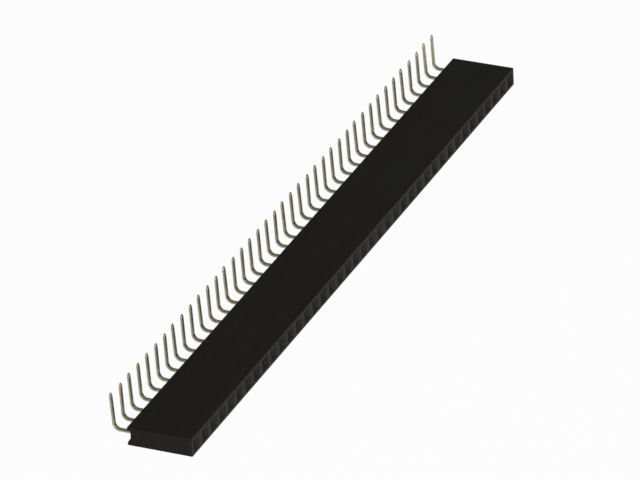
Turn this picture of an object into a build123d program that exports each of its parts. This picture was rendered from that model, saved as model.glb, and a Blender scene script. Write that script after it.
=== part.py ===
"""Female pin header strip, single row, with right-angle solder tails.

A moulded insulator holds a row of stamped and folded contacts. The strip lies on its
underside: +X runs along the row, the sockets open towards -Y, and the tails leave the
back (+Y) and bend up (+Z). The origin is the centre of the insulator's underside.
All sizes are in millimetres.
"""

import os
from math import atan, cos, degrees, radians, sin

from build123d import *

# ---- insulator -------------------------------------------------------------------------
positions = 40
pitch = 2.54
body_depth = 8.6  # from the mating face to the back
body_height = 2.5
body_edge_radius = 0.12
cavity_width = 1.6  # along the row
wall = 0.45  # above and below each cavity
mouth_size = 1.7  # square lead-in at the mating face
bore_size = 0.95  # square hole that guides a 0.64 mm pin
lead_in_depth = 0.5
front_wall = 1.0  # from the mating face to the contact cavity
channel_depth = 0.48  # recess along the back, between its two lips
lip_height = 0.35  # of the lower lip, at its edge
lip_root_height = 1.1  # of the lower lip, where its slope meets the channel floor

# ---- contact ---------------------------------------------------------------------------
sheet = 0.25  # thickness of the stamped strip
side_clearance = 0.05  # between the contact's sides and its cavity
base_length = 2.0  # folded base that holds the contact in its cavity
base_setback = 0.65  # from the channel floor to the base
fold_radius = 0.35  # outside of the base's two folds
barb_height = 0.13
barb_length = 0.45
barb_clearance = 0.02  # between the barbs and the roof of the cavity
barb_count = 2  # on each side of the base
arm_root_height = 1.1
arm_tip_height = 0.7
arm_taper_length = 0.5  # where the base's sides narrow to the arms
arm_tip_clearance = 0.3  # from the arm tips to the front wall
arm_gap = 0.3  # between the arms where they grip a pin
flare_length = 0.9  # from the grip to the arm tips
flare_out = 0.28  # how far each arm tip opens beyond the grip
arm_bend_radius = 0.5

# ---- solder tail -----------------------------------------------------------------------
tail_width = 0.56
shoulder_length = 0.35  # where the base narrows to the tail
joggle_start = 0.12  # straight stretch between the shoulder and the joggle
joggle_length = 0.55  # the tail climbs to its run over this length
joggle_radius = 0.3
tail_run_height = 1.2  # of the straight run behind the body, on the strip's centreline
tail_reach = 2.21  # from the back of the body to the upright part of the tail
tail_bend_radius = 0.86  # on the strip's centreline
tail_lean = 2.85  # degrees that the bend springs back
tail_lean_scatter = 0.8  # degrees either way, because no two tails spring back alike
tail_rise = 3.55  # from the top of the body to the tip
tail_edge_radius = 0.05
tip_length = 0.4  # coined point at the end of the tail
tip_edge_radius = 0.03
tip_side_cut = 0.1
tip_face_cut = 0.06

# ---- worked out from the sizes above ---------------------------------------------------
body_length = positions * pitch
front_y = -body_depth / 2
back_y = body_depth / 2
channel_floor_y = back_y - channel_depth
cavity_front_y = front_y + front_wall
cavity_floor_z = wall
cavity_roof_z = body_height - wall
cavity_height = cavity_roof_z - cavity_floor_z
row_z = body_height / 2
lead_in_taper = degrees(atan((mouth_size - bore_size) / 2 / lead_in_depth))

contact_half_width = cavity_width / 2 - side_clearance
strip_x = contact_half_width - sheet / 2  # centreline of the contact's sides
strip_z = cavity_floor_z + sheet / 2  # centreline of the contact's floor
base_back_y = channel_floor_y - base_setback
base_front_y = base_back_y - base_length
base_top_z = cavity_roof_z - barb_clearance - barb_height
arm_root_y = base_front_y - arm_taper_length
arm_tip_y = cavity_front_y + arm_tip_clearance
grip_y = arm_tip_y + flare_length
grip_x = (arm_gap + sheet) / 2

shoulder_back_y = base_back_y + shoulder_length
joggle_front_y = shoulder_back_y + joggle_start
tail_corner_y = back_y + tail_reach
tail_tip_z = body_height + tail_rise

front_plane = Plane(origin=(0, front_y, 0), x_dir=(1, 0, 0), z_dir=(0, -1, 0))
back_plane = Plane(origin=(0, back_y, 0), x_dir=(-1, 0, 0), z_dir=(0, 1, 0))
base_plane = Plane(origin=(0, base_back_y, 0), x_dir=(1, 0, 0), z_dir=(0, -1, 0))


def make_insulator():
    """The moulded body: a block with a lead-in, a bore and a cavity for each contact."""
    with BuildPart() as insulator:
        with BuildSketch(Plane.XY):
            Rectangle(body_length, body_depth)
        extrude(amount=body_height)
        fillet(insulator.edges(), radius=body_edge_radius)

        with BuildSketch(Plane.YZ):
            Polygon(
                (back_y, lip_height),
                (back_y, cavity_roof_z),
                (channel_floor_y, cavity_roof_z),
                (channel_floor_y, lip_root_height),
                align=None,
            )
        extrude(amount=body_length / 2, both=True, mode=Mode.SUBTRACT)

        with BuildSketch(back_plane):
            with Locations((0, row_z)), GridLocations(pitch, 0, positions, 1):
                Rectangle(cavity_width, cavity_height)
        extrude(amount=cavity_front_y - back_y, mode=Mode.SUBTRACT)

        with BuildSketch(front_plane):
            with Locations((0, row_z)), GridLocations(pitch, 0, positions, 1):
                Rectangle(bore_size, bore_size)
        extrude(amount=-front_wall, mode=Mode.SUBTRACT)

        with BuildSketch(front_plane):
            with Locations((0, row_z)), GridLocations(pitch, 0, positions, 1):
                Rectangle(mouth_size, mouth_size)
        extrude(amount=-lead_in_depth, taper=lead_in_taper, mode=Mode.SUBTRACT)
    return insulator.part


def make_contact(lean):
    """One stamped contact on x = 0: spring arms, folded base and a tail bent up."""
    upright = Vector(0, sin(radians(lean)), cos(radians(lean)))
    corner = Vector(0, tail_corner_y, tail_run_height)
    tip_start = corner + upright * ((tail_tip_z - tail_run_height) / upright.Z - tip_length)
    tip_plane = Plane(origin=tip_start, x_dir=(1, 0, 0), z_dir=upright)

    with BuildPart() as contact:
        # the two spring arms, bowed in to grip a pin and flared at their tips
        with BuildSketch(Plane.XY.offset(cavity_floor_z)):
            for side in (-1, 1):
                with BuildLine():
                    FilletPolyline(
                        (side * strip_x, base_front_y),
                        (side * strip_x, arm_root_y),
                        (side * grip_x, grip_y),
                        (side * (grip_x + flare_out), arm_tip_y),
                        radius=arm_bend_radius,
                    )
                trace(line_width=sheet)
        extrude(amount=cavity_height)
        with BuildSketch(Plane.YZ):
            Polygon(
                (base_front_y, cavity_floor_z + fold_radius),
                (base_front_y, base_top_z),
                (arm_root_y, row_z + arm_root_height / 2),
                (arm_tip_y - sheet, row_z + arm_tip_height / 2),
                (arm_tip_y - sheet, row_z - arm_tip_height / 2),
                align=None,
            )
        extrude(amount=contact_half_width, both=True, mode=Mode.INTERSECT)

        # the folded base, with barbs along the top of its sides
        with BuildSketch(base_plane):
            with BuildLine():
                FilletPolyline(
                    (-strip_x, base_top_z),
                    (-strip_x, strip_z),
                    (strip_x, strip_z),
                    (strip_x, base_top_z),
                    radius=fold_radius - sheet / 2,
                )
            trace(line_width=sheet)
        extrude(amount=base_length)
        for inner_x in (-contact_half_width, contact_half_width - sheet):
            with BuildSketch(Plane.YZ.offset(inner_x)):
                for number in range(barb_count):
                    barb_back_y = base_back_y - 2 * number * barb_length
                    Polygon(
                        (barb_back_y - barb_length, base_top_z),
                        (barb_back_y, base_top_z),
                        (barb_back_y, base_top_z + barb_height),
                        align=None,
                    )
            extrude(amount=sheet)

        # the shoulders that narrow the base to the tail
        with BuildSketch(Plane.XY.offset(cavity_floor_z)):
            Polygon(
                (-contact_half_width + fold_radius, base_back_y),
                (contact_half_width - fold_radius, base_back_y),
                (tail_width / 2, shoulder_back_y),
                (-tail_width / 2, shoulder_back_y),
                align=None,
            )
        extrude(amount=sheet)

        # the tail: out along the cavity floor, up the joggle, back and round the bend
        with BuildLine(Plane.YZ) as route:
            FilletPolyline(
                (shoulder_back_y - joggle_start, strip_z),
                (joggle_front_y, strip_z),
                (joggle_front_y + joggle_length, tail_run_height),
                (corner.Y, corner.Z),
                (tip_start.Y, tip_start.Z),
                radius=[joggle_radius, joggle_radius, tail_bend_radius],
            )
        with BuildSketch(Plane(origin=route.line @ 0, x_dir=(1, 0, 0), z_dir=route.line % 0)):
            RectangleRounded(tail_width, sheet, tail_edge_radius)
        sweep()

        # the coined tip
        with BuildSketch(tip_plane):
            RectangleRounded(tail_width, sheet, tail_edge_radius)
        with BuildSketch(tip_plane.offset(tip_length)):
            RectangleRounded(tail_width - 2 * tip_side_cut, sheet - 2 * tip_face_cut, tip_edge_radius)
        loft()
    return contact.part


os.makedirs("parts", exist_ok=True)

insulator = make_insulator()
insulator.label = "insulator"
export_step(insulator, "parts/insulator.step")

for number in range(1, positions + 1):
    row_x = (number - (positions + 1) / 2) * pitch
    lean = tail_lean + tail_lean_scatter * sin(number**2)
    with BuildPart() as contact:
        with Locations((row_x, 0, 0)):
            add(make_contact(lean))
    contact.part.label = f"contact_{number:02d}"
    export_step(contact.part, f"parts/{contact.part.label}.step")
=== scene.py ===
"""Looks for a 40-way female pin header strip: black moulded insulator, plated contacts.

Lengths are in metres unless a name says otherwise. The strip lies on the floor with its
row along X, its sockets towards -Y and its solder tails behind it, pointing up.
"""

from math import cos, radians, sin

import bpy
from mathutils import Matrix, Quaternion, Vector


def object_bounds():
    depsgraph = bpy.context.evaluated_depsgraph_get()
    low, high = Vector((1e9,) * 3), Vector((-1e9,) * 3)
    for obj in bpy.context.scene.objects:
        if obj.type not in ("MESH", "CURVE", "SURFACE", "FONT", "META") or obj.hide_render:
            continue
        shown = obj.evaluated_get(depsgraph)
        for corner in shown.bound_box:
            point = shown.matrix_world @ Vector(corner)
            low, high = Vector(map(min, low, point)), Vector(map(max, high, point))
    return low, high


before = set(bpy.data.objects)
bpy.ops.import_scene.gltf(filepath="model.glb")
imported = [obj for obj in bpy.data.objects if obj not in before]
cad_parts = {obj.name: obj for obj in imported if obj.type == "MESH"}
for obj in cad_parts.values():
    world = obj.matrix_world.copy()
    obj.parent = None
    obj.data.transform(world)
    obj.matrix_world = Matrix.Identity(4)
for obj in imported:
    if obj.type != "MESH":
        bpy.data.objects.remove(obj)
cad_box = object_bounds()

MM = 0.001

# ---- camera ----------------------------------------------------------------------------
CAMERA_AZIMUTH = radians(-65.0)  # 0 looks along +Y
CAMERA_ELEVATION = radians(28.76)
CAMERA_ROLL = radians(-2.85)
CAMERA_DISTANCE = 0.8863
CAMERA_AIM = Vector((0.48, 1.395, 1.94)) * MM
CAMERA_LENS_MM = 397.0
CAMERA_SENSOR_MM = 36.0
CAMERA_NEAREST = 0.01
CAMERA_FARTHEST = 20.0

# ---- light -----------------------------------------------------------------------------
WHITE = (1.0, 1.0, 1.0, 1.0)
ROOM = (0.04, 0.04, 0.04, 1.0)  # what lights the matt surfaces from all round
SWEEP_GREY = (0.38, 0.38, 0.38, 1.0)
SWEEP_WHITE_TO = 0.05  # sine of the elevation where the sweep starts to fade
SWEEP_GREY_FROM = 0.35  # sine of the elevation where it has faded
KEY_AZIMUTH = radians(-33.0)
KEY_ELEVATION = radians(15.0)
KEY_DISTANCE = 1.2
KEY_SIZE = 0.6
KEY_WATTS = 16.0

# ---- floor -----------------------------------------------------------------------------
FLOOR_HALF_SIZE = 3.0
FLOOR_COLOR = (0.80, 0.80, 0.80, 1.0)
FLOOR_GLOW = 0.97  # share of the floor that is plain white to camera and mirrored rays

# ---- black plastic ---------------------------------------------------------------------
PLASTIC_DARK = (0.0140, 0.0133, 0.0122, 1.0)
PLASTIC_LIGHT = (0.0240, 0.0227, 0.0210, 1.0)
PLASTIC_ROUGHNESS = (0.55, 0.68)
PLASTIC_SPECULAR = 0.06
PLASTIC_FLOW = (60.0, 900.0, 900.0)  # flow lines per metre: long along the row
PLASTIC_CLOUDS = 260.0  # per metre
PLASTIC_GRAINS = 9000.0  # per metre
PLASTIC_GRAIN_DEPTH = 0.01 * MM

# ---- plating ---------------------------------------------------------------------------
PLATING_DARK = (0.31, 0.298, 0.20, 1.0)
PLATING_LIGHT = (0.41, 0.395, 0.265, 1.0)
PLATING_ROUGHNESS = (0.36, 0.5)
PLATING_CLOUDS = 900.0  # per metre
PLATING_LINES = (14000.0, 900.0, 900.0)  # rolling lines per metre: fine across a tail
PLATING_LINE_DEPTH = 0.004 * MM

# Noise lies around a half, and nearly all of it is between these two values.
NOISE_LOW = 0.3
NOISE_HIGH = 0.7


def world_axis(azimuth, elevation):
    """Unit vector from the object towards a viewer or lamp at these angles."""
    level = cos(elevation)
    return Vector((sin(azimuth) * level, -cos(azimuth) * level, sin(elevation)))


def place(thing, position, turn):
    """Put a camera or lamp in the scene at a position, turned by a quaternion."""
    thing.matrix_world = Matrix.Translation(position) @ turn.to_matrix().to_4x4()
    bpy.context.scene.collection.objects.link(thing)


def make_camera():
    data = bpy.data.cameras.new("camera")
    data.lens = CAMERA_LENS_MM
    data.sensor_width = CAMERA_SENSOR_MM
    data.clip_start = CAMERA_NEAREST
    data.clip_end = CAMERA_FARTHEST
    camera = bpy.data.objects.new("camera", data)
    back = world_axis(CAMERA_AZIMUTH, CAMERA_ELEVATION)
    turn = back.to_track_quat("Z", "Y") @ Quaternion((0, 0, 1), CAMERA_ROLL)
    place(camera, CAMERA_AIM + back * CAMERA_DISTANCE, turn)
    bpy.context.scene.camera = camera


def make_key_lamp():
    """A square soft box, low and in front of the sockets, that faces the object."""
    data = bpy.data.lights.new("key", "AREA")
    data.shape = "SQUARE"
    data.size = KEY_SIZE
    data.energy = KEY_WATTS
    lamp = bpy.data.objects.new("key", data)
    direction = world_axis(KEY_AZIMUTH, KEY_ELEVATION)
    place(lamp, direction * KEY_DISTANCE, direction.to_track_quat("Z", "Y"))


class Tree:
    """A small helper for building a node tree."""

    def __init__(self, owner):
        owner.use_nodes = True
        self.nodes = owner.node_tree.nodes
        self.links = owner.node_tree.links
        self.nodes.clear()

    def add(self, kind, inputs=None, **settings):
        """Add a node: a socket in inputs is linked, anything else is set as a value."""
        node = self.nodes.new(kind)
        for name, value in settings.items():
            setattr(node, name, value)
        for name, value in (inputs or {}).items():
            if isinstance(value, bpy.types.NodeSocket):
                self.links.new(value, node.inputs[name])
            else:
                node.inputs[name].default_value = value
        return node

    def math(self, operation, first, second):
        return self.add("ShaderNodeMath", {0: first, 1: second}, operation=operation).outputs[0]

    def noise(self, vector, scale, **detail):
        inputs = {"Vector": vector, "Scale": scale}
        inputs.update(detail)
        return self.add("ShaderNodeTexNoise", inputs).outputs[0]

    def spread(self, noise, low, high):
        """Spread a noise over the values from low to high."""
        inputs = {"Value": noise, "From Min": NOISE_LOW, "From Max": NOISE_HIGH}
        inputs.update({"To Min": low, "To Max": high})
        return self.add("ShaderNodeMapRange", inputs).outputs[0]

    def ramp(self, factor, start, start_color, end, end_color):
        node = self.add("ShaderNodeValToRGB", {"Fac": factor})
        first, last = node.color_ramp.elements
        first.position = start
        first.color = start_color
        last.position = end
        last.color = end_color
        return node.outputs[0]

    def bump(self, height, strength, distance):
        inputs = {"Height": height, "Strength": strength, "Distance": distance}
        return self.add("ShaderNodeBump", inputs).outputs[0]

    def plain(self, color):
        return self.add("ShaderNodeBackground", {"Color": color, "Strength": 1.0}).outputs[0]

    def mix(self, share, first, second):
        return self.add("ShaderNodeMixShader", {0: share, 1: first, 2: second}).outputs[0]


def make_world():
    """White to the camera, a pale sweep that fades upwards to mirrored rays, and a dim room."""
    world = bpy.data.worlds.new("studio")
    bpy.context.scene.world = world
    tree = Tree(world)
    direction = tree.add("ShaderNodeTexCoord").outputs["Generated"]
    height = tree.add("ShaderNodeSeparateXYZ", {0: direction}).outputs["Z"]
    fade = tree.ramp(height, SWEEP_WHITE_TO, WHITE, SWEEP_GREY_FROM, SWEEP_GREY)
    rays = tree.add("ShaderNodeLightPath").outputs
    direct = tree.math("MAXIMUM", rays["Is Camera Ray"], rays["Is Transmission Ray"])
    bounced = tree.mix(rays["Is Glossy Ray"], tree.plain(ROOM), tree.plain(fade))
    seen = tree.mix(direct, bounced, tree.plain(WHITE))
    tree.add("ShaderNodeOutputWorld", {"Surface": seen})


def make_floor():
    """Pale paper under the object, nearly plain white to camera, glossy and transmission rays."""
    low = cad_box[0][2]
    half = FLOOR_HALF_SIZE
    corners = [(-half, -half, low), (half, -half, low), (half, half, low), (-half, half, low)]
    mesh = bpy.data.meshes.new("floor")
    mesh.from_pydata(corners, [], [(0, 1, 2, 3)])
    floor = bpy.data.objects.new("floor", mesh)
    bpy.context.scene.collection.objects.link(floor)
    material = bpy.data.materials.new("floor")
    tree = Tree(material)
    paper = tree.add("ShaderNodeBsdfDiffuse", {"Color": FLOOR_COLOR}).outputs[0]
    white = tree.add("ShaderNodeEmission", {"Color": WHITE, "Strength": 1.0}).outputs[0]
    rays = tree.add("ShaderNodeLightPath").outputs
    seen = tree.math("MAXIMUM", rays["Is Camera Ray"], rays["Is Glossy Ray"])
    seen = tree.math("MAXIMUM", seen, rays["Is Transmission Ray"])
    share = tree.math("MULTIPLY", seen, FLOOR_GLOW)
    tree.add("ShaderNodeOutputMaterial", {"Surface": tree.mix(share, paper, white)})
    mesh.materials.append(material)


def surface_material(tree, inputs):
    surface = tree.add("ShaderNodeBsdfPrincipled", inputs)
    tree.add("ShaderNodeOutputMaterial", {"Surface": surface.outputs[0]})


def make_plastic():
    """Black moulded plastic with a fine grain and faint flow lines along the row."""
    material = bpy.data.materials.new("moulded_black")
    tree = Tree(material)
    spot = tree.add("ShaderNodeTexCoord").outputs["Object"]
    along = tree.add("ShaderNodeMapping", {"Vector": spot, "Scale": PLASTIC_FLOW}).outputs[0]
    flow = tree.noise(along, 1.0, Detail=4.0, Roughness=0.6)
    cloud = tree.noise(spot, PLASTIC_CLOUDS, Detail=3.0)
    grain = tree.noise(spot, PLASTIC_GRAINS, Detail=2.0)
    tint = tree.math("MULTIPLY", flow, cloud)
    tint = tree.math("MULTIPLY", tint, tree.spread(grain, 0.7, 1.3))
    inputs = {
        "Base Color": tree.ramp(tint, 0.08, PLASTIC_DARK, 0.42, PLASTIC_LIGHT),
        "Roughness": tree.spread(cloud, *PLASTIC_ROUGHNESS),
        "Specular IOR Level": PLASTIC_SPECULAR,
        "Normal": tree.bump(grain, 0.25, PLASTIC_GRAIN_DEPTH),
    }
    surface_material(tree, inputs)
    return material


def make_plating():
    """Thin gold flash on rolled copper alloy: rolling lines and slightly cloudy colour."""
    material = bpy.data.materials.new("gold_flash")
    tree = Tree(material)
    spot = tree.add("ShaderNodeTexCoord").outputs["Object"]
    cloud = tree.noise(spot, PLATING_CLOUDS, Detail=3.0)
    across = tree.add("ShaderNodeMapping", {"Vector": spot, "Scale": PLATING_LINES}).outputs[0]
    rolled = tree.noise(across, 1.0, Detail=3.0)
    inputs = {
        "Base Color": tree.ramp(cloud, NOISE_LOW, PLATING_DARK, NOISE_HIGH, PLATING_LIGHT),
        "Metallic": 1.0,
        "Roughness": tree.spread(rolled, *PLATING_ROUGHNESS),
        "Normal": tree.bump(rolled, 0.2, PLATING_LINE_DEPTH),
    }
    surface_material(tree, inputs)
    return material


def dress(name, material):
    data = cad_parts[name].data
    data.materials.clear()
    data.materials.append(material)


bpy.context.scene.view_settings.view_transform = "Standard"
make_camera()
make_world()
make_floor()
make_key_lamp()

plastic = make_plastic()
plating = make_plating()
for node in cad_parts:
    dress(node, plastic if node == "insulator" else plating)
